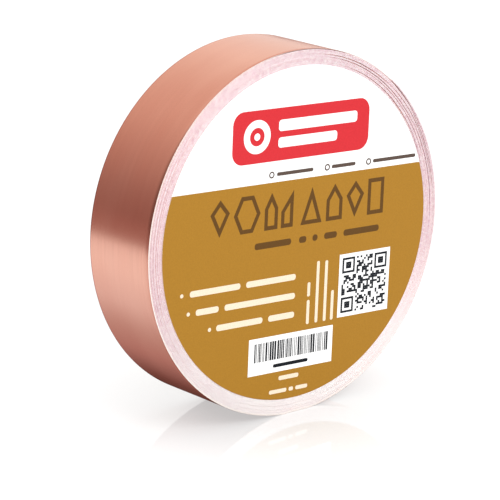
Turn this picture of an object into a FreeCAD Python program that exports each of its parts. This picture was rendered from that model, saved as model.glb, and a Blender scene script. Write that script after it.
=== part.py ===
"""Copper foil tape roll: one long strip of copper foil, adhesive and paper liner wound on a card core.

Frame, in millimetres: the roll stands on its rim on z = 0. Its axis lies along Y, at x = 0, and the
label is stuck to the front end, which faces -Y. Angles around the roll start at +X and rise to +Z.

The strip is a two-centre spiral: half turns whose centres lie pitch / 4 either side of the axis, so
that each half turn starts where the last one ended and the radius grows by one pitch a turn. Its
last stretch, the free end, is cut into short arcs that lift and peel about lines at their cuts.
"""

import FreeCAD, Part
import Sketcher

import os
from math import acos, cos, pi, sin

from FreeCAD import Placement, Rotation, Vector

# alias, value and meaning of each driving dimension (millimetres, degrees or a count)
SIZES = [
    ("tape_width", 25.4, "width of the strip and length of the core"),
    ("bore_radius", 38.1, "inside of the core, 76.2 mm across"),
    ("skin_ply", 0.4, "thickness of the core's inner and outer skin papers"),
    ("board_ply", 0.9, "thickness of each grey board ply of the core"),
    ("seam_gap", 0.25, "open width of the butt seam in each wound ply"),
    ("seam_slant", 52.0, "how far a seam travels sideways across the core's length"),
    ("start_clearance", 0.06, "space between the core and the first wrap"),
    ("liner_thickness", 0.13, "release liner"),
    ("glue_thickness", 0.035, "adhesive film on the foil's inner face"),
    ("foil_thickness", 0.035, "copper foil"),
    ("wrap_air", 0.02, "air between one wrap and the next"),
    ("wraps", 37, "whole turns of the strip that stay wound"),
    ("foot_sag", 0.28, "how far the roll's weight flattens its outermost wrap where it stands"),
    ("root_end", 24.0, "angle where the first arc of the free end stops"),
    ("peel_start", 32.0, "angle where the foil can leave the liner"),
    ("tail_end", 48.0, "angle of the cut end of the strip"),
    ("cut_gap", 0.03, "angle left open at each cut of the free end"),
    ("peel_clearance", 0.005, "space under the foil that peels"),
    ("label_radius", 46.3, "round label, which covers the core and the inner wraps"),
    ("label_glue", 0.02, "adhesive under the label"),
    ("label_paper", 0.09, "printed paper of the label"),
]

# butt seam of each ply of the core, in degrees, staggered as the plies are wound;
# the inner skin has none, because its edges are pared thin and lapped
PLY_SEAMS = {
    "core_board_ply_1": 40.0,
    "core_board_ply_2": 250.0,
    "core_board_ply_3": 115.0,
    "core_board_ply_4": 325.0,
    "core_outer_skin": 200.0,
}
BOARD_PLIES = 4
AXIS_Y = Vector(0, 1, 0)

doc = FreeCAD.newDocument("CopperFoilRoll")
sheet = doc.addObject("Spreadsheet::Sheet", "Sizes")
for row, (alias, value, meaning) in enumerate(SIZES, start=1):
    sheet.set(f"A{row}", meaning)
    sheet.set(f"B{row}", str(value))
    sheet.setAlias(f"B{row}", alias)
doc.recompute()

# expressions shared by several pieces
PITCH = ("(Sizes.liner_thickness + Sizes.glue_thickness + Sizes.foil_thickness"
         " + Sizes.wrap_air)")
CORE_OUTSIDE = ("(Sizes.bore_radius + 2 * Sizes.skin_ply"
                f" + {BOARD_PLIES} * Sizes.board_ply)")
FIRST_WRAP = f"({CORE_OUTSIDE} + Sizes.start_clearance)"
TAIL_INSIDE = f"({FIRST_WRAP} + Sizes.wraps * {PITCH})"
# the lowest half turn is the last one wound: its flattened foot rests on z = 0
AXIS_HEIGHT = f"({TAIL_INSIDE} + {PITCH} / 2 - Sizes.wrap_air - Sizes.foot_sag)"


def origin_plane(body, role):
    """One of a body's own origin planes."""
    return next(feature for feature in body.Origin.OriginFeatures if feature.Role == role)


def new_body(name, placement=Placement()):
    """A PartDesign body whose own origin is the middle of the roll's axis."""
    body = doc.addObject("PartDesign::Body", name)
    body.Label = name
    body.Placement = placement
    body.setExpression("Placement.Base.z", AXIS_HEIGHT)
    return body


def new_sketch(body, name, role):
    """An empty sketch on one of the body's origin planes."""
    sketch = body.newObject("Sketcher::SketchObject", name)
    sketch.AttachmentSupport = [(origin_plane(body, role), "")]
    sketch.MapMode = "FlatFace"
    return sketch


def add_circle(sketch, radius):
    """A circle about the sketch's origin with its radius bound to an expression."""
    circle = sketch.addGeometry(Part.Circle(Vector(), Vector(0, 0, 1), 10.0))
    sketch.addConstraint(Sketcher.Constraint("Coincident", circle, 3, -1, 1))
    bind_constraint(sketch, Sketcher.Constraint("Radius", circle, 10.0), radius)


def bind_constraint(sketch, constraint, expression):
    """Adds a sized constraint and binds it to the sheet."""
    index = sketch.addConstraint(constraint)
    sketch.setExpression(f"Constraints[{index}]", expression)


def add_seam_outline(sketch):
    """A slanted four-sided slot, one unit longer than the core at each end."""
    reach = "(Sizes.tape_width / 2 + 1)"
    slant = "(Sizes.seam_slant / Sizes.tape_width)"
    half_gap = "(Sizes.seam_gap / 2)"
    corners = [
        (f"-{reach} * {slant} - {half_gap}", f"-{reach}", (-28.2, -13.7)),
        (f"-{reach} * {slant} + {half_gap}", f"-{reach}", (-27.9, -13.7)),
        (f"{reach} * {slant} + {half_gap}", reach, (28.2, 13.7)),
        (f"{reach} * {slant} - {half_gap}", reach, (27.9, 13.7)),
    ]
    starts = [Vector(x, y, 0) for _, _, (x, y) in corners]
    lines = [sketch.addGeometry(Part.LineSegment(start, end))
             for start, end in zip(starts, starts[1:] + starts[:1])]
    for line, following in zip(lines, lines[1:] + lines[:1]):
        sketch.addConstraint(Sketcher.Constraint("Coincident", line, 2, following, 1))
    for line, (across, along, (x, y)) in zip(lines, corners):
        bind_constraint(sketch, Sketcher.Constraint("DistanceX", -1, 1, line, 1, x), across)
        bind_constraint(sketch, Sketcher.Constraint("DistanceY", -1, 1, line, 1, y), along)


def core_ply(name, inner, outer):
    """One wound ply of the core: a ring, with a slanted butt seam through its wall if it has one."""
    seam_turn = Rotation(AXIS_Y, 90.0 - PLY_SEAMS.get(name, 90.0))
    body = new_body(name, Placement(Vector(), seam_turn))
    ring = new_sketch(body, f"{name}_ring", "XZ_Plane")
    add_circle(ring, outer)
    add_circle(ring, inner)
    wall = body.newObject("PartDesign::Pad", f"{name}_wall")
    wall.Profile = ring
    wall.SideType = "Symmetric"
    wall.setExpression("Length", "Sizes.tape_width")
    if name not in PLY_SEAMS:
        return body

    doc.recompute()
    whole_volume = wall.Shape.Volume
    outline = new_sketch(body, f"{name}_seam_outline", "XY_Plane")
    add_seam_outline(outline)
    seam = body.newObject("PartDesign::Pocket", f"{name}_seam")
    seam.Profile = outline
    seam.Type = "ThroughAll"
    seam.Reversed = True
    doc.recompute()
    if not 0 < seam.Shape.Volume < whole_volume:
        raise RuntimeError(f"{name}: the seam cut nothing")
    return body


def label_layer(name, front_gap, thickness):
    """One round layer of the label, its back front_gap in front of the wraps' edges."""
    body = new_body(name)
    disc = new_sketch(body, f"{name}_disc", "XZ_Plane")
    add_circle(disc, "Sizes.label_radius")
    disc.setExpression("AttachmentOffset.Base.z", f"Sizes.tape_width / 2 + {front_gap}")
    layer = body.newObject("PartDesign::Pad", f"{name}_layer")
    layer.Profile = disc
    layer.setExpression("Length", thickness)
    return body


def wound_strip(name, depth, thickness, first_turn, last_turn):
    """Turns of one spiral layer, depth millimetres out from the liner's inner face."""
    pitch = sheet.liner_thickness + sheet.glue_thickness + sheet.foil_thickness + sheet.wrap_air
    core_outside = sheet.bore_radius + 2 * sheet.skin_ply + BOARD_PLIES * sheet.board_ply
    first_radius = core_outside + sheet.start_clearance
    front = -sheet.tape_width / 2
    last_half_turn = 2 * int(sheet.wraps) - 1

    def side(offset):
        """One side of the layer, offset from the liner's inner face: arcs and flattened feet."""
        edges = []
        for index in range(2 * first_turn, 2 * last_turn):
            upper = index % 2 == 0
            centre = pitch / 4 * (-1 if upper else 1)
            radius = first_radius + index * pitch / 2 + offset

            def arc(start, end):
                points = [Vector(centre + radius * cos(angle), front, radius * sin(angle))
                          for angle in (start, (start + end) / 2, end)]
                return Part.Arc(*points).toShape()

            if upper:
                edges.append(arc(0, pi))
                continue
            # the foot is deepest in the last wrap and dies away towards the core
            sag = sheet.foot_sag * index / last_half_turn
            half_foot = acos(1 - sag / radius)
            before = arc(pi, 1.5 * pi - half_foot)
            after = arc(1.5 * pi + half_foot, 2 * pi)
            foot = Part.makeLine(before.Vertexes[-1].Point, after.Vertexes[0].Point)
            edges += [before, foot, after]
        return edges

    inner_side = side(depth)
    outer_side = side(depth + thickness)
    ends = [Part.makeLine(inner_side[0].Vertexes[0].Point, outer_side[0].Vertexes[0].Point),
            Part.makeLine(inner_side[-1].Vertexes[-1].Point, outer_side[-1].Vertexes[-1].Point)]
    outline = Part.Wire(Part.__sortEdges__(inner_side + outer_side + ends))
    strip = doc.addObject("Part::Feature", name)
    strip.Label = name
    strip.Shape = Part.Face(outline).extrude(Vector(0, sheet.tape_width, 0))
    strip.setExpression("Placement.Base.z", AXIS_HEIGHT)
    return strip


def tail_arc(name, start, end, inner, thickness):
    """A short arc of one layer of the free end, between two angles around the roll."""
    outside = doc.addObject("Part::Cylinder", f"{name}_outside")
    outside.setExpression("Radius", f"{inner} + {thickness}")
    outside.setExpression("Angle", f"{end} - ({start})")
    inside = doc.addObject("Part::Cylinder", f"{name}_inside")
    inside.setExpression("Radius", inner)
    for cylinder in (outside, inside):
        cylinder.setExpression("Height", "Sizes.tape_width")
    outside.Placement = Placement(Vector(), Rotation(Vector(0, 0, 1), 1.0))
    outside.setExpression("Placement.Rotation.Angle", f"({start}) * 1 deg")
    arc = doc.addObject("Part::Cut", name)
    arc.Label = name
    arc.Base = outside
    arc.Tool = inside
    # the cylinders' own axis turns to -Y, so that their angles rise from +X to +Z
    arc.Placement = Placement(Vector(), Rotation(Vector(1, 0, 0), 90.0))
    arc.setExpression("Placement.Base.x", f"-{PITCH} / 4")
    arc.setExpression("Placement.Base.y", "Sizes.tape_width / 2")
    arc.setExpression("Placement.Base.z", AXIS_HEIGHT)
    return arc


def build_core():
    """Inner skin, board plies and outer skin, each wound on the one before."""
    board_inside = "Sizes.bore_radius + Sizes.skin_ply"
    plies = [core_ply("core_inner_skin", "Sizes.bore_radius", board_inside)]
    for number in range(1, BOARD_PLIES + 1):
        plies.append(core_ply(f"core_board_ply_{number}",
                              f"{board_inside} + {number - 1} * Sizes.board_ply",
                              f"{board_inside} + {number} * Sizes.board_ply"))
    plies.append(core_ply("core_outer_skin", f"{CORE_OUTSIDE} - Sizes.skin_ply", CORE_OUTSIDE))
    return plies


def build_winding():
    """The wound part of the strip: liner innermost, then adhesive, then copper.

    The last turn of copper, which is all that shows from outside, is a node of its own.
    """
    turns = int(sheet.wraps)
    glue_depth = sheet.liner_thickness
    foil_depth = glue_depth + sheet.glue_thickness
    foil = (foil_depth, sheet.foil_thickness)
    return [
        wound_strip("release_liner_winding", 0.0, sheet.liner_thickness, 0, turns),
        wound_strip("adhesive_winding", glue_depth, sheet.glue_thickness, 0, turns),
        wound_strip("copper_foil_winding", *foil, 0, turns - 1),
        wound_strip("copper_foil_outer_wrap", *foil, turns - 1, turns),
    ]


def build_free_end():
    """The free end: a root arc, an outer arc, and a tip where foil and adhesive peel."""
    liner = (TAIL_INSIDE, "Sizes.liner_thickness")
    glue_inside = f"({TAIL_INSIDE} + Sizes.liner_thickness)"
    glue = (glue_inside, "Sizes.glue_thickness")
    foil = (f"({glue_inside} + Sizes.glue_thickness)", "Sizes.foil_thickness")
    peeling_glue = (f"({glue_inside} + Sizes.peel_clearance)",
                    "(Sizes.glue_thickness - Sizes.peel_clearance)")

    root = ("Sizes.cut_gap", "Sizes.root_end")
    outer = ("Sizes.root_end + Sizes.cut_gap", "Sizes.tail_end")
    middle = ("Sizes.root_end + Sizes.cut_gap", "Sizes.peel_start")
    tip = ("Sizes.peel_start + Sizes.cut_gap", "Sizes.tail_end")
    return [
        tail_arc("release_liner_root", *root, *liner),
        tail_arc("adhesive_root", *root, *glue),
        tail_arc("copper_foil_root", *root, *foil),
        tail_arc("release_liner_end", *outer, *liner),
        tail_arc("adhesive_middle", *middle, *glue),
        tail_arc("copper_foil_middle", *middle, *foil),
        tail_arc("adhesive_tip", *tip, *peeling_glue),
        tail_arc("copper_foil_tip", *tip, *foil),
    ]


def build_label():
    """The round label: its adhesive against the wraps' edges, its paper in front."""
    return [
        label_layer("label_adhesive", "0", "Sizes.label_glue"),
        label_layer("label_paper", "Sizes.label_glue", "Sizes.label_paper"),
    ]


def check_document(pieces):
    """Stops if any object failed, or if a piece isn't one valid solid."""
    for item in doc.Objects:
        if "Invalid" in item.State or "Error" in item.State:
            raise RuntimeError(f"{item.Name} failed: {item.State}")
    for piece in pieces:
        shape = piece.Shape
        if shape.isNull() or not shape.isValid() or len(shape.Solids) != 1:
            raise RuntimeError(f"{piece.Label} isn't one valid solid")


pieces = build_core() + build_winding() + build_free_end() + build_label()
doc.recompute()
check_document(pieces)

os.makedirs("parts", exist_ok=True)
for piece in pieces:
    piece.Shape.exportStep(f"parts/{piece.Label}.step")
    box = piece.Shape.BoundBox
    print(f"{piece.Label:24s} {piece.Shape.Volume:10.2f} mm3   z {box.ZMin:7.3f} to {box.ZMax:7.3f}"
          f"   y {box.YMin:7.3f} to {box.YMax:7.3f}")
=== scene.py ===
"""The looks of a roll of copper foil tape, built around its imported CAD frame.

Metres, Z up. The roll stands on its rim with its axis along Y, and its label faces -Y. Lengths in
millimetres are named *_MM. Angles around the roll start at +X and rise to +Z, in degrees; a place
on the strip is the whole angle wound since its inner end.
"""

import math
import random

import bpy
import numpy as np
from mathutils import Matrix, Vector


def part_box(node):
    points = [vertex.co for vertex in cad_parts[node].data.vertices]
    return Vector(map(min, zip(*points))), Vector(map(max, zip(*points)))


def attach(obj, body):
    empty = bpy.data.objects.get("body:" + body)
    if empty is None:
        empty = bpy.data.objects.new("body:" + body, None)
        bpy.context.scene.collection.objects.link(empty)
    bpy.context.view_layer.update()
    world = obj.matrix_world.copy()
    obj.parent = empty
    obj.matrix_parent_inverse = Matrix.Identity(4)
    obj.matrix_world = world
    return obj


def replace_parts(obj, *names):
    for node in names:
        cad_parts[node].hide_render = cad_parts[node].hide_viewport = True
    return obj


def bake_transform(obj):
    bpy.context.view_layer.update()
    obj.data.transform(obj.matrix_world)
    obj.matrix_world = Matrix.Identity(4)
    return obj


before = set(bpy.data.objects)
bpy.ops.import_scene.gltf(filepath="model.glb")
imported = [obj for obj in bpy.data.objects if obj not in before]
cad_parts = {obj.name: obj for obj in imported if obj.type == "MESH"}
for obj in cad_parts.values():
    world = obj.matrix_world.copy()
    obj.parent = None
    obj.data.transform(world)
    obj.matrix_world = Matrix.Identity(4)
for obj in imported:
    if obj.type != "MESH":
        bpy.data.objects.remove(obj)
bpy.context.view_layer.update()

MM = 0.001
RANDOM = random.Random(20)

# ------------------------------------------------------------------ sizes from the CAD frame
core_low, core_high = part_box("core_inner_skin")
AXIS_Z_MM = (core_low.z + core_high.z) / 2 / MM
HALF_WIDTH_MM = core_high.y / MM
CORE_RADIUS_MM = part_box("core_outer_skin")[1].x / MM
LABEL_RADIUS_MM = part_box("label_paper")[1].x / MM
LABEL_FRONT_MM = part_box("label_paper")[0].y / MM

# the strip, as it is wound in the CAD model
LINER_MM, GLUE_MM, FOIL_MM, AIR_MM = 0.13, 0.035, 0.035, 0.02
PITCH_MM = LINER_MM + GLUE_MM + FOIL_MM + AIR_MM
FIRST_RADIUS_MM = CORE_RADIUS_MM + 0.06
TURNS = 37
FOOT_SAG_MM = 0.28
WOUND = 360.0 * TURNS
# the free end's joints and its cut end, and how far each bend spreads, in degrees past the winding
LIFT_AT, UNCURL_AT, PEEL_AT, END_AT = 0.0, 24.0, 32.0, 48.0
SPLIT_AT = 12.0


# ------------------------------------------------------------------ meshes
def closed_mesh(name, points_mm, faces, smooth=True):
    """An object from points in millimetres, its faces turned outwards, in the row frame."""
    points = np.asarray(points_mm, float) * MM
    volume = 0.0
    for face in faces:
        first = points[face[0]]
        for second, third in zip(face[1:-1], face[2:]):
            volume += np.dot(first, np.cross(points[second], points[third]))
    if volume < 0:
        faces = [tuple(reversed(face)) for face in faces]
    mesh = bpy.data.meshes.new(name)
    mesh.from_pydata(points.tolist(), [], faces)
    mesh.update()
    if smooth:
        mesh.shade_smooth()
        mesh.set_sharp_from_angle(angle=math.radians(30))
    made = bpy.data.objects.new(name, mesh)
    bpy.context.scene.collection.objects.link(made)
    return made


def strip_point(wound, depth):
    """Where the strip is after winding that far: (x, z from the axis), depth out from its inner face."""
    half_turn = np.minimum(np.floor(wound / 180.0), 2 * TURNS)
    upper = half_turn % 2 == 0
    radius = FIRST_RADIUS_MM + half_turn * PITCH_MM / 2 + depth
    x = np.where(upper, -1, 1) * PITCH_MM / 4 + radius * np.cos(np.radians(wound))
    z = radius * np.sin(np.radians(wound))
    sag = FOOT_SAG_MM * half_turn / (2 * TURNS - 1)
    return x, np.where(upper, z, np.maximum(z, sag - radius))


def eased(share):
    """A share from 0 to 1 that starts and ends gently."""
    return share * share * (3 - 2 * share)


class Wander:
    """How far one edge of the strip strays outwards along its length, in millimetres: a random
    value every step degrees, and a smooth curve between them."""

    PAST_END = 400.0

    def __init__(self, step, spread, limit):
        count = int((WOUND + self.PAST_END) / step) + 3
        self.step = step
        self.values = np.clip([RANDOM.gauss(0, spread) for _ in range(count)], -limit, limit)

    def __call__(self, wound):
        place = np.asarray(wound, float) / self.step
        index = np.clip(place.astype(int), 0, len(self.values) - 2)
        share = eased(place - index)
        return self.values[index] * (1 - share) + self.values[index + 1] * share


front_wander, back_wander = Wander(47.0, 0.035, 0.07), Wander(53.0, 0.035, 0.07)
# wraps that sit deep over part of the front, which shows as dark lines: (turn, depth in
# millimetres, angle of the middle, reach to either side in degrees)
LOOSE_WRAPS = [(36, 0.55, 60, 26), (35, 0.30, 40, 20), (30, 0.70, 62, 24), (31, 0.55, 30, 26),
               (27, 0.70, 52, 32), (28, 0.45, 14, 24), (24, 0.35, 40, 30), (20, 0.60, 45, 34),
               (19, 0.45, 30, 24), (33, 0.35, 20, 18)]


def front_edge(wound):
    """y of the strip's front edge, in millimetres."""
    wound = np.asarray(wound, float)
    out = front_wander(wound)
    for turn, depth, middle, reach in LOOSE_WRAPS:
        away = np.abs(wound - 360.0 * turn - middle) / reach
        out = out - depth * eased(np.clip(1 - away, 0, 1))
    # the wraps under the label stay clear of its back
    under_label = FIRST_RADIUS_MM + wound / 360.0 * PITCH_MM < LABEL_RADIUS_MM + 0.3
    return -HALF_WIDTH_MM - np.where(under_label, np.minimum(out, -0.004) - 0.02, out)


def back_edge(wound):
    return HALF_WIDTH_MM + back_wander(wound)


def strip(name, start, end, depth, thickness, step, columns=1, chamfer=0.0):
    """A length of one layer as a closed band that follows the winding. Each point also keeps its
    place on the strip: millimetres along it, millimetres across it, and turns wound."""
    count = max(2, int(round((end - start) / step)) + 1)
    wound = np.linspace(start, end, count)
    # just inside each end of a half turn, so that no point falls on the far side of it
    wound[0] += 1e-6
    wound[-1] -= 1e-6
    shares = np.linspace(0, 1, columns + 1)
    inner = [(depth, share, 0.0) for share in shares]
    outer = [(depth + thickness, share, 0.0) for share in shares[::-1]]
    if chamfer:
        inner[0], inner[-1] = (depth, 0.0, chamfer), (depth, 1.0, -chamfer)
        outer[0], outer[-1] = (depth + thickness, 1.0, -chamfer), (depth + thickness, 0.0, chamfer)
        section = (inner + [(depth + chamfer, 1.0, 0.0), (depth + thickness - chamfer, 1.0, 0.0)]
                   + outer + [(depth + thickness - chamfer, 0.0, 0.0), (depth + chamfer, 0.0, 0.0)])
    else:
        section = inner + outer
    front, back = front_edge(wound), back_edge(wound)
    points = np.empty((count, len(section), 3))
    places = np.empty((count, len(section), 3))
    along = np.radians(wound) * (FIRST_RADIUS_MM + wound / 720.0 * PITCH_MM)
    for column, (level, share, inset) in enumerate(section):
        x, z = strip_point(wound, level)
        y = front * (1 - share) + back * share + inset
        points[:, column] = np.stack([x, y, z + AXIS_Z_MM], axis=1)
        places[:, column] = np.stack([along, y, wound / 360.0], axis=1)
    size = len(section)
    faces = [(i * size + j, i * size + (j + 1) % size, (i + 1) * size + (j + 1) % size,
              (i + 1) * size + j) for i in range(count - 1) for j in range(size)]
    faces.append(tuple(range(size - 1, -1, -1)))
    faces.append(tuple((count - 1) * size + j for j in range(size)))
    made = closed_mesh(name, points.reshape(-1, 3), faces)
    attribute = made.data.attributes.new("strip_place", "FLOAT_VECTOR", "POINT")
    attribute.data.foreach_set("vector", places.reshape(-1).astype(np.float32))
    return made


# ------------------------------------------------------------------ materials
def linear(red, green, blue):
    """A colour given as it looks on screen, 0 to 255, as the shader wants it."""
    return tuple((c / 255 / 12.92 if c <= 10 else ((c / 255 + 0.055) / 1.055) ** 2.4)
                 for c in (red, green, blue)) + (1.0,)


class Nodes:
    """Short ways to add nodes to a node tree."""

    def __init__(self, tree):
        self.tree = tree

    def node(self, kind, inputs=(), **settings):
        made = self.tree.nodes.new(kind)
        for name, value in settings.items():
            setattr(made, name, value)
        for key, value in dict(inputs).items():
            if isinstance(value, bpy.types.NodeSocket):
                self.tree.links.new(value, made.inputs[key])
            else:
                made.inputs[key].default_value = value
        return made

    def maths(self, operation, *values):
        return self.node("ShaderNodeMath", dict(enumerate(values)), operation=operation).outputs[0]

    def axes(self, vector):
        return self.node("ShaderNodeSeparateXYZ", {0: vector}).outputs

    def scaled(self, vector, factors):
        return self.node("ShaderNodeMapping", {"Vector": vector, "Scale": factors}).outputs[0]

    def noise(self, place, detail=3.0, roughness=0.55):
        return self.node("ShaderNodeTexNoise", {"Vector": place, "Scale": 1.0, "Detail": detail,
                                                "Roughness": roughness}).outputs["Fac"]

    def spread(self, value, low, high, to_low=0.0, to_high=1.0):
        """A value from low to high, spread evenly from to_low to to_high and held past the ends."""
        return self.node("ShaderNodeMapRange", {"Value": value, "From Min": low, "From Max": high,
                                                "To Min": to_low, "To Max": to_high}).outputs[0]

    def mix(self, share, first, second, blend="MIX"):
        made = self.node("ShaderNodeMix", {0: share, 6: first, 7: second}, data_type="RGBA",
                         blend_type=blend)
        return made.outputs[2]

    def grade(self, value, stops):
        """A colour that follows a value from 0 to 1 through the stops (place, (red, green, blue))."""
        made = self.node("ShaderNodeValToRGB", {0: value})
        elements = made.color_ramp.elements
        for element, (place, colour) in zip(elements, (stops[0], stops[-1])):
            element.position, element.color = place, (*colour, 1)
        for place, colour in stops[1:-1]:
            elements.new(place).color = (*colour, 1)
        return made.outputs[0]


class Finish(Nodes):
    """A Principled material for a piece."""

    def __init__(self, name, **sockets):
        self.material = bpy.data.materials.new(name)
        self.material.use_nodes = True
        super().__init__(self.material.node_tree)
        self.shader = self.tree.nodes["Principled BSDF"]
        for socket, value in sockets.items():
            self.shader.inputs[socket.replace("_", " ")].default_value = value

    def strip_place(self):
        """Where a point is on the strip: (mm along it, mm across it, turns wound)."""
        return self.node("ShaderNodeAttribute", attribute_name="strip_place").outputs["Vector"]

    def object_place(self):
        """Where a point is in the row frame, in metres."""
        return self.node("ShaderNodeTexCoord").outputs["Object"]

    def strip_noise(self, scale, detail=3.0, roughness=0.55):
        return self.noise(self.scaled(self.strip_place(), scale), detail, roughness)

    def object_noise(self, per_mm, detail=3.0, roughness=0.55):
        factors = [factor / MM for factor in per_mm]
        return self.noise(self.scaled(self.object_place(), factors), detail, roughness)

    def link(self, socket, value):
        self.tree.links.new(value, self.shader.inputs[socket])

    def bump(self, height, distance_mm, strength=1.0, normal=None):
        inputs = {"Height": height, "Distance": distance_mm * MM, "Strength": strength}
        if normal is not None:
            inputs["Normal"] = normal
        return self.node("ShaderNodeBump", inputs).outputs[0]


def copper_finish():
    """Rolled foil: drawn lines along the strip, faint clouds, a front edge that turns in and carries
    painted shade, and a back edge that is darker.
    """
    front_rim_mm, back_rim_mm = 1.5, 0.45
    made = Finish("rolled_copper", Metallic=1.0)
    drawn = made.strip_noise((0.010, 1.4, 0.0), 3.0, 0.5)
    cloud = made.strip_noise((0.05, 0.11, 0.3), 2.0, 0.5)
    tone = made.mix(made.spread(cloud, 0.3, 0.7), (0.92, 0.455, 0.33, 1), (0.945, 0.49, 0.36, 1))
    tone = made.mix(made.spread(drawn, 0.4, 0.8, 0.0, 0.25), tone, (0.80, 0.37, 0.26, 1))
    across = made.axes(made.strip_place())["Y"]
    front = made.spread(across, front_rim_mm - HALF_WIDTH_MM, -HALF_WIDTH_MM)
    back = made.spread(across, HALF_WIDTH_MM - back_rim_mm, HALF_WIDTH_MM)
    # painted shade: the foil is darker along its front edge, where it turns in
    tone = made.mix(made.maths("MULTIPLY", front, 0.45), tone, (0.55, 0.22, 0.17, 1))
    # the foil is darker along its back edge
    tone = made.mix(made.maths("MULTIPLY", back, 0.75), tone, (0.42, 0.17, 0.15, 1))
    made.link("Base Color", tone)
    made.link("Roughness", made.spread(made.mix(0.5, drawn, cloud), 0.3, 0.7, 0.19, 0.27))
    rolled = made.maths("MULTIPLY", made.maths("MULTIPLY", front, front), -1.0)
    bend = made.bump(rolled, 0.18)
    made.link("Normal", made.bump(cloud, 0.012, 0.5, made.bump(drawn, 0.0025, 0.5, bend)))
    return made.material


def liner_finish():
    """Coated paper. Its cut edges are mottled where the knife has dragged copper over them, with painted
    light and shade on them as well.
    """
    made = Finish("coated_liner", Roughness=0.5, Specular_IOR_Level=0.25)
    speck = made.object_noise((0.8, 0.8, 0.8), 3.0, 0.85)
    patch = made.object_noise((0.12, 0.12, 0.12), 2.0, 0.5)
    wrap = made.strip_noise((0.02, 0.02, 4.0), 2.0, 0.6)
    cut = made.mix(made.spread(speck, 0.36, 0.62), (0.80, 0.54, 0.66, 1), (1.0, 0.93, 0.98, 1))
    cut = made.mix(made.spread(wrap, 0.35, 0.7, 0.0, 0.5), cut, (1.0, 0.90, 0.93, 1))
    # darker towards the left and right sides; painted shade darkens the right side, and painted light
    # whitens the lower part
    place = made.axes(made.object_place())
    beside = made.spread(made.maths("ABSOLUTE", place["X"]), 0.035, 0.047)
    cut = made.mix(beside, cut, (0.87, 0.82, 0.84, 1), "MULTIPLY")
    # painted shade: darker on the right side
    right = made.spread(place["X"], -0.02, 0.03)
    cut = made.mix(right, cut, (0.89, 0.90, 0.91, 1), "MULTIPLY")
    # painted light: whiter towards the bottom, in patches
    pale = made.maths("MULTIPLY", made.spread(place["Z"], 0.042, 0.006),
                      made.spread(patch, 0.3, 0.7, 0.75, 1.0))
    cut = made.mix(pale, cut, (1.0, 1.0, 1.0, 1))
    # painted highlight: the last wraps' cut edges are lighter over the left half of the roll; painted
    # shade: a dark line on them at the upper right
    on_strip = made.axes(made.strip_place())
    turn = on_strip["Z"]
    way = made.maths("FRACT", turn)
    painted_lip_highlight = made.maths("MULTIPLY", made.spread(turn, TURNS - 1.8, TURNS - 1.6, 0.0, 0.85),
                     made.maths("MULTIPLY", made.spread(way, 0.22, 0.28),
                                made.spread(way, 0.90, 0.80)))
    cut = made.mix(painted_lip_highlight, cut, (1.0, 0.97, 0.92, 1))
    # painted shade: a dark line on the last wrap at the upper right
    from_painted_dark_line = made.maths("ABSOLUTE", made.maths("SUBTRACT", turn, TURNS - 0.81))
    cut = made.mix(made.spread(from_painted_dark_line, 0.07, 0.10, 1.0, 0.0), cut, (0.24, 0.14, 0.14, 1))
    # away from its cut edges the liner is plain, faintly clouded paper
    edge = made.spread(made.maths("ABSOLUTE", on_strip["Y"]), HALF_WIDTH_MM - 0.5,
                       HALF_WIDTH_MM - 0.25)
    face = made.mix(made.spread(speck, 0.3, 0.7), (0.90, 0.84, 0.82, 1), (0.95, 0.90, 0.88, 1))
    made.link("Base Color", made.mix(edge, face, cut))
    made.link("Normal", made.bump(speck, 0.01, 0.4))
    return made.material


def adhesive_finish(name, ripple_of, dark, light):
    """Tacky acrylic film with a ripple that ripple_of, a noise method of Finish, draws."""
    made = Finish(name, Roughness=0.16, Specular_IOR_Level=0.5)
    ripple = ripple_of(made)
    made.link("Base Color", made.mix(made.spread(ripple, 0.3, 0.7), dark, light))
    made.link("Normal", made.bump(ripple, 0.02, 0.5))
    return made.material


def board_finish(name, dark, light, fibre=0.9):
    """Card: mottled grey-brown pulp with darker flecks that lie along the core."""
    made = Finish(name, Roughness=0.9, Specular_IOR_Level=0.2)
    pulp = made.object_noise((0.55, 0.55, 0.55), 5.0, 0.65)
    fleck = made.object_noise((2.5, 0.9, 2.5), 2.0, 0.6)
    tone = made.mix(made.spread(pulp, 0.3, 0.7), dark, light)
    tone = made.mix(made.spread(fleck, 0.62, 0.75, 0.0, 0.5), tone,
                    tuple(c * 0.55 for c in dark[:3]) + (1,))
    made.link("Base Color", tone)
    made.link("Normal", made.bump(made.mix(0.5, pulp, fleck), 0.06, fibre))
    return made.material


def paper_finish():
    """Coated white label stock with a fine tooth."""
    made = Finish("label_stock", Roughness=0.42, Specular_IOR_Level=0.35)
    tooth = made.object_noise((3.0, 3.0, 3.0), 4.0, 0.6)
    made.link("Base Color", made.mix(made.spread(tooth, 0.3, 0.7), (0.90, 0.90, 0.895, 1),
                                     (0.95, 0.95, 0.945, 1)))
    made.link("Normal", made.bump(tooth, 0.004, 0.4))
    return made.material


def ink_finish(name, colour, variation=0.05):
    """Printed ink: its colour barely mottled by the paper's tooth."""
    made = Finish(name, Roughness=0.45, Specular_IOR_Level=0.12)
    grain = made.object_noise((2.4, 2.4, 2.4), 4.0, 0.65)
    light = tuple(min(1.0, c * (1 + variation)) for c in colour[:3]) + (1,)
    dark = tuple(c * (1 - variation) for c in colour[:3]) + (1,)
    made.link("Base Color", made.mix(made.spread(grain, 0.35, 0.65), dark, light))
    made.link("Normal", made.bump(grain, 0.003, 0.3))
    return made.material


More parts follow.
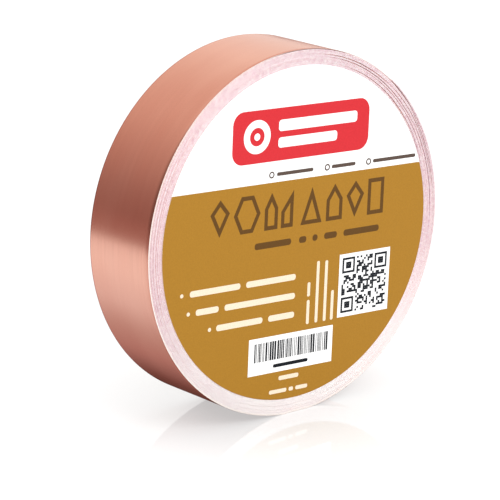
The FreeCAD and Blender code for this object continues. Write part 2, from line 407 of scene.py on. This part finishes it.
copper = copper_finish()
liner = liner_finish()
glue = adhesive_finish("strip_adhesive", lambda made: made.strip_noise((0.6, 0.6, 1.0), 3.0, 0.6),
                       (0.86, 0.66, 0.60, 1), (0.93, 0.78, 0.72, 1))
label_glue = adhesive_finish("label_back", lambda made: made.object_noise((0.6, 0.6, 0.6), 3.0, 0.6),
                             (0.86, 0.83, 0.74, 1), (0.93, 0.90, 0.83, 1))
grey_board = board_finish("grey_board", (0.31, 0.26, 0.20, 1), (0.46, 0.40, 0.32, 1))
dark_board = board_finish("dark_board", (0.22, 0.18, 0.135, 1), (0.34, 0.29, 0.225, 1))
skin_paper = board_finish("kraft_skin", (0.42, 0.29, 0.18, 1), (0.55, 0.40, 0.26, 1), 0.5)
label_stock = paper_finish()


def dress(piece, material):
    """Gives a piece its material."""
    piece.data.materials.clear()
    piece.data.materials.append(material)
    return piece


# ------------------------------------------------------------------ the wound strip
# (depth and thickness in millimetres, material, slot)
LAYERS = {
    "liner": (0.0, LINER_MM, liner, "release_liner"),
    "adhesive": (LINER_MM, GLUE_MM, glue, "adhesive"),
    "foil": (LINER_MM + GLUE_MM, FOIL_MM, copper, "copper_foil"),
}


def layer(kind, name, start, end, replaced, step, columns=1, chamfer=0.0):
    """A length of one layer, in its material, in the place of a CAD node."""
    depth, thickness, material, slot_name = LAYERS[kind]
    made = strip(name, start, end, depth, thickness, step, columns, chamfer)
    dress(made, material)
    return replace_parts(made, replaced)


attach(layer("liner", "liner_wraps", 0, WOUND, "release_liner_winding", 2.0, chamfer=0.02), "roll")
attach(layer("adhesive", "adhesive_wraps", 0, WOUND, "adhesive_winding", 2.0), "roll")
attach(layer("foil", "foil_wraps", 0, WOUND - 360, "copper_foil_winding", 2.0), "roll")
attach(layer("foil", "foil_outer_wrap", WOUND - 360, WOUND, "copper_foil_outer_wrap", 1.0,
              columns=24), "roll")


for kind, root_node in (("liner", "release_liner_root"), ("adhesive", "adhesive_root"),
                        ("foil", "copper_foil_root")):
    made = layer(kind, f"{kind}_lift", WOUND + LIFT_AT, WOUND + SPLIT_AT, root_node, 0.5, 8)
    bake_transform(made)
for kind, end, node in (("liner", END_AT, "release_liner_end"),
                        ("adhesive", PEEL_AT, "adhesive_middle"),
                        ("foil", PEEL_AT, "copper_foil_middle")):
    made = layer(kind, f"{kind}_uncurl", WOUND + SPLIT_AT, WOUND + end, node, 0.5, 8)
    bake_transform(made)
for kind, node in (("adhesive", "adhesive_tip"), ("foil", "copper_foil_tip")):
    made = layer(kind, f"{kind}_peel", WOUND + PEEL_AT, WOUND + END_AT, node, 0.5, 8)
    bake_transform(made)

# ------------------------------------------------------------------ core and label stock
for node in ("core_inner_skin", "core_outer_skin"):
    dress(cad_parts[node], skin_paper)
for number in range(1, 5):
    dress(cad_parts[f"core_board_ply_{number}"], grey_board if number % 2 else dark_board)
dress(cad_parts["label_adhesive"], label_glue)
dress(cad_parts["label_paper"], label_stock)

# ------------------------------------------------------------------ the print on the label
# Places on the label are millimetres from its middle, u to the right and v up, before the tilt.
PRINT_TILT = math.radians(2.88)
INK_STEP_MM = 0.01
INK_ROOT_MM = 0.01


def prisms(name, outlines, level, material):
    """Closed flat shapes of ink, their fronts that many ink steps proud of the paper. An outline is
    a loop of places, or an outer loop and an inner one with as many places."""
    back = LABEL_FRONT_MM + INK_ROOT_MM
    front = LABEL_FRONT_MM - level * INK_STEP_MM
    points, faces = [], []
    for outline in outlines:
        loops = outline if isinstance(outline[0][0], (tuple, list)) else [outline]
        starts = []
        for loop in loops:
            starts.append(len(points))
            for y in (back, front):
                for u, v in loop:
                    x = u * math.cos(PRINT_TILT) + v * math.sin(PRINT_TILT)
                    z = v * math.cos(PRINT_TILT) - u * math.sin(PRINT_TILT)
                    points.append((x, y, z + AXIS_Z_MM))
        count = len(loops[0])
        if len(loops) == 1:
            start = starts[0]
            faces.append(tuple(start + i for i in range(count)))
            faces.append(tuple(start + count + i for i in reversed(range(count))))
        else:
            outer, inner = starts
            for i in range(count):
                j = (i + 1) % count
                faces.append((outer + i, outer + j, inner + j, inner + i))
                faces.append((outer + count + j, outer + count + i, inner + count + i,
                              inner + count + j))
        for start in starts:
            for i in range(count):
                j = (i + 1) % count
                side = (start + j, start + i, start + count + i, start + count + j)
                faces.append(side if start == starts[0] else tuple(reversed(side)))
    made = closed_mesh(name, points, faces, smooth=False)
    dress(made, material)
    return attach(made, "roll")


def box(left, right, low, high, radius=0.0, turns=4):
    """A rectangle, counter-clockwise from the front, with rounded corners if radius is given."""
    if not radius:
        return [(left, low), (right, low), (right, high), (left, high)]
    radius = min(radius, (right - left) / 2 - 1e-3, (high - low) / 2 - 1e-3)
    corners = [(right - radius, low + radius, 270), (right - radius, high - radius, 0),
               (left + radius, high - radius, 90), (left + radius, low + radius, 180)]
    return [(u + radius * math.cos(math.radians(start + 90 * step / turns)),
             v + radius * math.sin(math.radians(start + 90 * step / turns)))
            for u, v, start in corners for step in range(turns + 1)]


def round_shape(u, v, radius, count):
    return [(u + radius * math.cos(2 * math.pi * i / count),
             v + radius * math.sin(2 * math.pi * i / count)) for i in range(count)]


def round_line(u, v, outer, inner, count):
    return [round_shape(u, v, outer, count), round_shape(u, v, inner, count)]


def outlined(corners, stroke):
    """A convex outline with a stroke of even width drawn inside it."""
    inner = []
    for i, (u, v) in enumerate(corners):
        before, after = corners[i - 1], corners[(i + 1) % len(corners)]
        first = Vector((u - before[0], v - before[1])).normalized()
        second = Vector((after[0] - u, after[1] - v)).normalized()
        middle = Vector((-first.y - second.y, first.x + second.x)).normalized()
        reach = stroke / max(0.3, middle.dot(Vector((-first.y, first.x))))
        inner.append((u + middle.x * reach, v + middle.y * reach))
    return [corners, inner]


gold = ink_finish("gold_ink", linear(163, 117, 38))
red = ink_finish("red_ink", linear(203, 46, 53))
brown = ink_finish("brown_ink", linear(96, 66, 28))
cream = ink_finish("cream_ink", linear(233, 216, 192))
white = ink_finish("white_ink", (0.93, 0.93, 0.925, 1), variation=0.02)
grey = ink_finish("grey_ink", linear(88, 73, 65))
black = ink_finish("black_ink", linear(25, 30, 36))



def gold_shape(chord_v=15.3, steps=220):
    """The label's round outline below a level chord."""
    radius = LABEL_RADIUS_MM - 0.02
    chord_angle = math.asin(chord_v / radius)
    angles = [math.pi - chord_angle + i * (math.pi + 2 * chord_angle) / steps
              for i in range(steps + 1)]
    return [(radius * math.cos(angle), radius * math.sin(angle)) for angle in angles]


prisms("print_gold", [gold_shape()], 1, gold)
prisms("print_banner", [box(-24, 24, 21.1, 35.5, 3.6, 8)], 1, red)

# the banner's own marks: a plain roll of tape and two bars
MARK_U, MARK_V = -15.6, 28.3
prisms("print_banner_marks", [round_line(MARK_U, MARK_V, 4.6, 2.5, 48),
                              round_shape(MARK_U, MARK_V, 1.0, 24),
                              box(-8.2, 19.6, 29.1, 32.2, 0.9),
                              box(-8.2, 12.6, 24.6, 27.4, 0.9)], 2, white)

# a row of glass pieces, foiled round their edges, in the place of a title
TITLE_LOW, TITLE_HIGH, STROKE = 2.3, 12.5, 1.15


def stretched(shape, left, right):
    """A shape drawn in the unit square, over a slot of the title row."""
    return [(left + (right - left) * u, TITLE_LOW + (TITLE_HIGH - TITLE_LOW) * v) for u, v in shape]


SQUARE = [(0, 0), (1, 0), (1, 1), (0, 1)]
KITE = [(0.5, 0), (1, 0.62), (0.5, 1), (0, 0.62)]
HEXAGON = [(0.27, 0), (0.73, 0), (1, 0.5), (0.73, 1), (0.27, 1), (0, 0.5)]
TRIANGLE = [(0, 0), (1, 0), (0.5, 1)]
HOUSE = [(0, 0), (1, 0), (1, 0.58), (0.5, 1), (0, 0.58)]
SLOPE = [(0, 0), (1, 0), (1, 1), (0, 0.45)]
TITLE_ROW = [(KITE, -30.6, -24.0), (HEXAGON, -22.6, -13.4), (HOUSE, -11.9, -7.3),
             (SLOPE, -6.1, -1.9), (TRIANGLE, 0.8, 8.4), (HOUSE, 9.9, 15.7), (KITE, 17.1, 23.5),
             (SQUARE, 24.9, 30.8)]
prisms("print_title", [outlined(stretched(shape, left, right), STROKE)
                       for shape, left, right in TITLE_ROW], 2, brown)


def words(spans, low, high):
    """Bars as long as words, in one line."""
    return [box(left, right, low, high, (high - low) * 0.42, 3) for left, right in spans]


SIZE_LINE = ((-15, -2.2), (0.6, 3.2), (5.4, 7.2), (9.6, 14.2), (16.6, 29.6))
prisms("print_size_line", words(SIZE_LINE, -2.7, -0.9), 2, brown)

# cream print: three points with bullets, upright lines beside them and two lines at the foot
POINT_HEIGHT, BULLET_RISE, BULLET_RADIUS, UPRIGHT_HALF = 1.7, 0.8, 0.55, 0.5
POINT_LINES = ((-39.3, -12.8, ((-36.6, -19.4), (-17.4, 0.0))),
               (-36.9, -18.1, ((-34.4, -26.6), (-24.6, 0.0))),
               (-29.5, -23.4, ((-27.2, -11.2), (-9.2, 0.0))))
UPRIGHT_LINES = ((4.9, -26.0, -19.2), (4.9, -18.2, -14.2), (8.0, -26.0, -8.6), (11.0, -26.0, -8.8),
                 (13.6, -26.0, -17.6))
FOOT_LINES = ((-40.6, -39.4, ((-4.6, 2.5),)), (-44.2, -43.1, ((-7.8, -1.6), (-0.8, 0.8), (1.6, 5.9))))
points = []
for bullet_u, low, spans in POINT_LINES:
    points.append(round_shape(bullet_u, low + BULLET_RISE, BULLET_RADIUS, 16))
    points += words(spans, low, low + POINT_HEIGHT)
for u, low, high in UPRIGHT_LINES:
    points.append(box(u - UPRIGHT_HALF, u + UPRIGHT_HALF, low, high, 0.4, 3))
for low, high, spans in FOOT_LINES:
    points += words(spans, low, high)
prisms("print_points", points, 2, cream)

# the small grey line above the gold: a round mark before each word
SMALL_LOW, SMALL_HIGH = 16.9, 17.9
small_line = words(((-8.2, 4.6), (11.2, 19.8), (26.2, 42.0)), SMALL_LOW, SMALL_HIGH)
small_line += [round_line(u, (SMALL_LOW + SMALL_HIGH) / 2, 0.95, 0.55, 20)
               for u in (-10.0, 9.6, 24.6)]
prisms("print_small_line", small_line, 1, grey)

CODE_LEFT, CODE_RIGHT, CODE_LOW, CODE_HIGH = 15.7, 34.3, -25.8, -7.9
BARS_LEFT, BARS_RIGHT, BARS_LOW, BARS_HIGH = -15.6, 14.3, -38.0, -27.6
prisms("print_cards", [box(CODE_LEFT, CODE_RIGHT, CODE_LOW, CODE_HIGH),
                       box(BARS_LEFT, BARS_RIGHT, BARS_LOW, BARS_HIGH)], 2, white)


def code_cells(count=25, margin=1.1):
    """A square of random cells with a framed square in three corners: it holds no message."""
    wide, tall = CODE_RIGHT - CODE_LEFT - 2 * margin, CODE_HIGH - CODE_LOW - 2 * margin
    filled = {(i, j) for i in range(count) for j in range(count) if RANDOM.random() < 0.5}
    for corner_i, corner_j in ((0, 0), (0, count - 7), (count - 7, count - 7)):
        filled -= {(i, j) for i in range(corner_i - 1, corner_i + 8)
                   for j in range(corner_j - 1, corner_j + 8)}
        filled |= {(corner_i + i, corner_j + j) for i in range(7) for j in range(7)
                   if max(abs(i - 3), abs(j - 3)) != 2}
    shapes, gap = [], 0.008
    for j in range(count):
        i = 0
        while i < count:
            run = i
            while (run, j) in filled:
                run += 1
            if run > i:
                shapes.append(box(CODE_LEFT + margin + wide * i / count + gap,
                                  CODE_LEFT + margin + wide * run / count - gap,
                                  CODE_LOW + margin + tall * j / count + gap,
                                  CODE_LOW + margin + tall * (j + 1) / count - gap))
            i = run + 1
    return shapes


def stripes():
    """Random upright bars with a short bar under them."""
    shapes, at = [], BARS_LEFT + 2.0
    while at < BARS_RIGHT - 2.2:
        wide = RANDOM.choice((0.2, 0.22, 0.42, 0.62))
        shapes.append(box(at, at + wide, BARS_LOW + 3.6, BARS_HIGH - 1.5))
        at += wide + RANDOM.choice((0.18, 0.2, 0.34, 0.42))
    return shapes + words([(-6.8, 5.6)], BARS_LOW + 1.3, BARS_LOW + 2.3)


prisms("print_code", code_cells() + stripes(), 3, black)

# ------------------------------------------------------------------ floor and light
TABLE_HALF = 4.0
# painted reflection of the table in the foil, by the distance to either side of the roll's axis, in
# metres: dark near the axis, a painted shadow of the roll
PAINTED_TABLE_REFLECTION = ((0.016, (0.05, 0.015, 0.012)), (0.026, (0.16, 0.06, 0.05)),
                  (0.040, (0.45, 0.28, 0.27)), (0.055, (0.55, 0.45, 0.45)),
                  (0.075, (0.80, 0.80, 0.85)), (0.120, (0.95, 1.00, 1.05)))
MIRRORED_REACH = 0.15
# what it mirrors of the room, by the upward part of the direction
MIRRORED_ROOM = ((0.0, (0.30, 0.17, 0.16)), (0.2, (0.37, 0.24, 0.23)), (0.5, (0.58, 0.43, 0.40)),
                 (0.65, (0.76, 0.63, 0.59)), (0.8, (0.90, 0.85, 0.83)), (1.0, (1.0, 1.0, 1.0)))
# how each side of the room differs: (degrees round from +X, share that is bright, level of the rest)
ROOM_SIDES = ((0, 0.9, 1.0), (60, 1.0, 1.0), (90, 0.0, 1.0), (130, 0.0, 1.0), (140, 0.0, 0.5),
              (175, 0.0, 0.5), (205, 0.6, 1.0), (250, 0.8, 1.0), (290, 0.15, 1.0),
              (325, 0.15, 1.0), (360, 0.9, 1.0))


def make_floor():
    """A pale table with a faint shine, whose glow is dimmer close to the roll: a painted shadow. What
    shines back from it is a painted reflection, darker close to the roll, a painted shadow, and beyond
    the table's edge, as on a small table in a dim room."""
    mesh = bpy.data.meshes.new("floor")
    corners = [(-1, -1), (1, -1), (1, 1), (-1, 1)]
    mesh.from_pydata([(TABLE_HALF * x, TABLE_HALF * y, 0) for x, y in corners], [], [(0, 1, 2, 3)])
    floor = bpy.data.objects.new("floor", mesh)
    bpy.context.scene.collection.objects.link(floor)
    material = bpy.data.materials.new("pale_table")
    material.use_nodes = True
    add = Nodes(material.node_tree)
    add.tree.nodes.remove(add.tree.nodes["Principled BSDF"])
    place = add.node("ShaderNodeTexCoord").outputs["Object"]
    away = add.node("ShaderNodeVectorMath", {0: place}, operation="LENGTH").outputs["Value"]

    # what the camera sees: matt and pale, faintly shiny, with real shade and a painted shadow beside the
    # roll
    grain = add.noise(add.scaled(place, (30, 30, 30)))
    matt = add.node("ShaderNodeBsdfDiffuse", {"Color": add.mix(grain, (0.325, 0.325, 0.325, 1),
                                                               (0.335, 0.335, 0.335, 1))})
    shine = add.node("ShaderNodeBsdfGlossy", {"Color": (1, 1, 1, 1), "Roughness": 0.05})
    polish = add.spread(away, 0.013, 0.10, 0.20, 0.0)
    body = add.node("ShaderNodeMixShader", {0: polish, 1: matt.outputs[0], 2: shine.outputs[0]})
    # painted shadow: the glow is dimmer close to the roll, and rises further off
    strength = add.maths("ADD", add.spread(away, 0.018, 0.056, 0.50, 0.69),
                         add.spread(away, 0.08, 0.6, 0.0, 0.08))
    glow_with_painted_shadow = add.node("ShaderNodeEmission", {"Color": (1, 1, 1, 1), "Strength": strength})
    seen = add.node("ShaderNodeAddShader", {0: body.outputs[0], 1: glow_with_painted_shadow.outputs[0]})

    # what the foil mirrors: a painted reflection of the table, with a painted shadow near the roll
    beside = add.maths("MULTIPLY", add.maths("ABSOLUTE", add.axes(place)["X"]), 1 / MIRRORED_REACH)
    near = add.grade(beside, [(x / MIRRORED_REACH, colour) for x, colour in PAINTED_TABLE_REFLECTION])
    beyond = add.spread(away, 0.325, 0.36)
    shown = add.mix(beyond, near, (0.34, 0.19, 0.18, 1))
    # painted reflection: the table glows with this colour for rays that reflect off the foil
    back = add.node("ShaderNodeEmission", {"Color": shown, "Strength": 1.0})

    glossy = add.node("ShaderNodeLightPath").outputs["Is Glossy Ray"]
    whole = add.node("ShaderNodeMixShader", {0: glossy, 1: seen.outputs[0], 2: back.outputs[0]})
    add.tree.links.new(whole.outputs[0], add.tree.nodes["Material Output"].inputs["Surface"])
    floor.data.materials.append(material)


def make_world():
    """White all round for light and background. What shines back in the foil is a room that is
    dim near the horizon and bright above, brightest behind the roll on the right."""
    world = bpy.data.worlds.new("studio")
    bpy.context.scene.world = world
    world.use_nodes = True
    add = Nodes(world.node_tree)
    plain = add.tree.nodes["Background"]
    plain.inputs["Color"].default_value = (1, 1, 1, 1)
    plain.inputs["Strength"].default_value = 1.0
    direction = add.axes(add.node("ShaderNodeTexCoord").outputs["Generated"])
    height = add.grade(direction["Z"], MIRRORED_ROOM)
    turn = add.maths("ARCTAN2", direction["Y"], direction["X"])
    round_about = add.maths("FRACT", add.maths("ADD", add.maths("DIVIDE", turn, 2 * math.pi), 1.0))
    side = add.grade(round_about, [(angle / 360, (bright, level, 0))
                                   for angle, bright, level in ROOM_SIDES])
    parts = add.node("ShaderNodeSeparateColor", {0: side})
    # the sides are as light as each other straight overhead, so that no edge shows there
    overhead = add.spread(direction["Z"], 0.7, 0.9)
    level = add.maths("MAXIMUM", parts.outputs["Green"], overhead)
    dim = add.node("ShaderNodeVectorMath", {0: height, "Scale": level},
                   operation="SCALE").outputs[0]
    room = add.mix(parts.outputs["Red"], dim, (0.94, 0.91, 0.88, 1))
    shiny = add.node("ShaderNodeBackground", {"Color": room, "Strength": 1.0})
    glossy = add.node("ShaderNodeLightPath").outputs["Is Glossy Ray"]
    chooser = add.node("ShaderNodeMixShader", {0: glossy, 1: plain.outputs[0], 2: shiny.outputs[0]})
    add.tree.links.new(chooser.outputs[0], add.tree.nodes["World Output"].inputs[0])


def make_key_light():
    """One large soft light in front of the roll and above it."""
    place, aim = Vector((-0.10, -0.95, 0.95)), Vector((0, 0, 0.05))
    data = bpy.data.lights.new("key", "AREA")
    data.shape, data.size, data.energy = "SQUARE", 0.6, 8.0
    made = bpy.data.objects.new("key", data)
    bpy.context.scene.collection.objects.link(made)
    made.location = place
    made.rotation_mode = "QUATERNION"
    made.rotation_quaternion = (aim - place).to_track_quat("-Z", "Y")


make_floor()
make_world()
make_key_light()
bpy.context.scene.view_settings.view_transform = "Standard"

# ------------------------------------------------------------------ camera
CAMERA_AZIMUTH, CAMERA_PITCH = math.radians(39.37), math.radians(15.845)
CAMERA_X, CAMERA_Y, CAMERA_ABOVE_AXIS = -0.4713, -0.5669, 0.2019
camera_data = bpy.data.cameras.new("camera")
camera_data.lens, camera_data.sensor_width = 201.0, 36.0
camera_data.clip_start, camera_data.clip_end = 0.05, 20.0
camera = bpy.data.objects.new("camera", camera_data)
bpy.context.scene.collection.objects.link(camera)
bpy.context.scene.camera = camera
forward = Vector((math.sin(CAMERA_AZIMUTH) * math.cos(CAMERA_PITCH),
                  math.cos(CAMERA_AZIMUTH) * math.cos(CAMERA_PITCH), -math.sin(CAMERA_PITCH)))
right = Vector((math.cos(CAMERA_AZIMUTH), -math.sin(CAMERA_AZIMUTH), 0))
up = right.cross(forward)
turned = Matrix((right, up, -forward)).transposed().to_4x4()
camera_place = (CAMERA_X, CAMERA_Y, AXIS_Z_MM * MM + CAMERA_ABOVE_AXIS)
camera.matrix_world = Matrix.Translation(camera_place) @ turned
